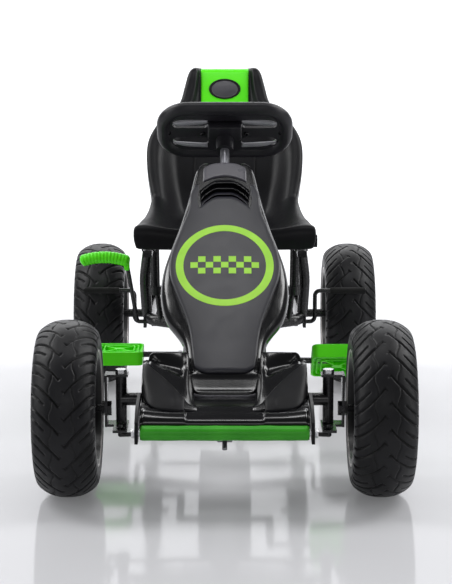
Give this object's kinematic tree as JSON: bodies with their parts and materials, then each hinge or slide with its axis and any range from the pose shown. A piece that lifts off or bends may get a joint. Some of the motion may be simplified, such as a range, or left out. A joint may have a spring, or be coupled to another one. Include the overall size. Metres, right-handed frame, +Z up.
{
  "type": "pedal go kart",
  "caption": "Child's four-wheeled pedal go kart with chain drive, linked front steering, hand brake, bucket seat with headrest and sloping nose cowl.",
  "frame": {"origin": "on the ground, midway between the axles and on the centre plane", "axes": "+Z up; -Y is forward, so +X is the rider's left; Y runs along the kart's length"},
  "size_m": [0.58, 1.0751, 0.6171],
  "materials": {
    "painted_steel": "gloss black powder coat",
    "bright_steel": "zinc plated",
    "dark_steel": "oiled steel",
    "gloss_black": "moulded gloss black",
    "satin_grey": "satin dark grey",
    "matte_black": "moulded matte black",
    "lime_plastic": "moulded lime green",
    "green_foam": "satin green sleeve",
    "decal": "printed film",
    "tyre_rubber": "moulded tread",
    "rim_plastic": "moulded rim",
    "rubber": "soft rubber"
  },
  "bodies": {
    "chassis": {"main_beam": "painted_steel", "front_axle_beam": "painted_steel", "frame_bushes": "bright_steel", "rear_hoop": "painted_steel", "axle_bearings": "bright_steel", "seat_rails": "painted_steel", "seat_posts": "painted_steel", "seat_struts": "painted_steel", "front_fairing": "gloss_black", "fairing_fins": "satin_grey", "bumper_brackets": "painted_steel", "bumper_rod": "bright_steel", "bumper_roller": "green_foam", "nose_cowl": "gloss_black", "nose_face": "satin_grey", "nose_vents": "gloss_black", "nose_insert": "satin_grey", "nose_decal": "decal", "nose_lip": "gloss_black", "centre_cover": "gloss_black", "cover_stripes": "lime_plastic", "chain_case": "gloss_black", "chain": "dark_steel", "brake_spring": "bright_steel"},
    "steering": {"steering_column": "dark_steel", "steering_rim": "matte_black", "wheel_back_cover": "matte_black", "wheel_hub_cap": "gloss_black"},
    "tie_rod_left": {"tie_rod_left": "painted_steel"},
    "tie_rod_right": {"tie_rod_right": "painted_steel"},
    "knuckle_left": {"knuckle_left": "painted_steel", "king_bolt_left": "bright_steel"},
    "knuckle_right": {"knuckle_right": "painted_steel", "king_bolt_right": "bright_steel"},
    "front_wheel_left": {"tyre_front_left": "tyre_rubber", "rim_front_left": "rim_plastic", "hub_cap_front_left": "gloss_black"},
    "front_wheel_right": {"tyre_front_right": "tyre_rubber", "rim_front_right": "rim_plastic", "hub_cap_front_right": "gloss_black"},
    "rear_drive": {"rear_axle": "bright_steel", "rear_sprocket": "dark_steel", "tyre_rear_left": "tyre_rubber", "rim_rear_left": "rim_plastic", "hub_cap_rear_left": "gloss_black"},
    "rear_wheel_right": {"tyre_rear_right": "tyre_rubber", "rim_rear_right": "rim_plastic", "hub_cap_rear_right": "gloss_black"},
    "crank": {"crank": "painted_steel", "chainring": "dark_steel"},
    "pedal_left": {"pedal_left": "lime_plastic"},
    "pedal_right": {"pedal_right": "lime_plastic"},
    "brake": {"brake_rod": "painted_steel", "brake_pads": "rubber", "brake_grip": "lime_plastic"},
    "seat": {"seat_shell": "matte_black", "headrest_panel": "lime_plastic", "headrest_badge": "matte_black", "seat_runners": "painted_steel", "seat_knob": "matte_black"}
  },
  "joints": [
    {"name": "steer", "type": "hinge", "parent": "chassis", "child": "steering", "pos_m": [0, 0.04, 0.53], "axis": [0, 0.6947, 0.7193], "range_deg": [-22, 22]},
    {"name": "tie_rod_left_swing", "type": "hinge", "parent": "steering", "child": "tie_rod_left", "pos_m": [0.013, -0.41927, 0.11199], "axis": [0, 0.6947, 0.7193], "range_deg": [-22, 22]},
    {"name": "knuckle_left_turn", "type": "hinge", "parent": "chassis", "child": "knuckle_left", "pos_m": [0.16, -0.4, 0.15], "axis": [0, 0, 1], "range_deg": [-22, 22]},
    {"name": "front_wheel_left_spin", "type": "hinge", "parent": "knuckle_left", "child": "front_wheel_left", "pos_m": [0.242, -0.4, 0.1375], "axis": [1, 0, 0], "continuous": true},
    {"name": "tie_rod_right_swing", "type": "hinge", "parent": "steering", "child": "tie_rod_right", "pos_m": [-0.013, -0.41927, 0.11199], "axis": [0, 0.6947, 0.7193], "range_deg": [-22, 22]},
    {"name": "knuckle_right_turn", "type": "hinge", "parent": "chassis", "child": "knuckle_right", "pos_m": [-0.16, -0.4, 0.15], "axis": [0, 0, 1], "range_deg": [-22, 22]},
    {"name": "front_wheel_right_spin", "type": "hinge", "parent": "knuckle_right", "child": "front_wheel_right", "pos_m": [-0.242, -0.4, 0.1375], "axis": [1, 0, 0], "continuous": true},
    {"name": "rear_axle_spin", "type": "hinge", "parent": "chassis", "child": "rear_drive", "pos_m": [0, 0.4, 0.1375], "axis": [1, 0, 0], "continuous": true},
    {"name": "rear_wheel_right_spin", "type": "hinge", "parent": "rear_drive", "child": "rear_wheel_right", "pos_m": [-0.242, 0.4, 0.1375], "axis": [1, 0, 0], "continuous": true},
    {"name": "crank_spin", "type": "hinge", "parent": "chassis", "child": "crank", "pos_m": [0, -0.085, 0.151], "axis": [1, 0, 0], "continuous": true},
    {"name": "pedal_left_spin", "type": "hinge", "parent": "crank", "child": "pedal_left", "pos_m": [0.186, -0.18377, 0.16664], "axis": [1, 0, 0], "continuous": true},
    {"name": "pedal_right_spin", "type": "hinge", "parent": "crank", "child": "pedal_right", "pos_m": [-0.186, 0.01377, 0.13536], "axis": [1, 0, 0], "continuous": true},
    {"name": "brake_pull", "type": "hinge", "parent": "chassis", "child": "brake", "pos_m": [0, 0.262, 0.147], "axis": [-1, 0, 0], "range_deg": [0, 9], "stiffness_Nm_per_rad": 8, "springref_deg": -5.73},
    {"name": "seat_adjust", "type": "slide", "parent": "chassis", "child": "seat", "axis": [0, 1, 0], "range_m": [-0.035, 0.055]}
  ],
  "couplings": [
    {"joint": "knuckle_left_turn", "follows": "steer", "ratio": 1},
    {"joint": "tie_rod_left_swing", "follows": "steer", "ratio": -1},
    {"joint": "knuckle_right_turn", "follows": "steer", "ratio": 1},
    {"joint": "tie_rod_right_swing", "follows": "steer", "ratio": -1},
    {"joint": "crank_spin", "follows": "rear_axle_spin", "ratio": 0.57143}
  ]
}
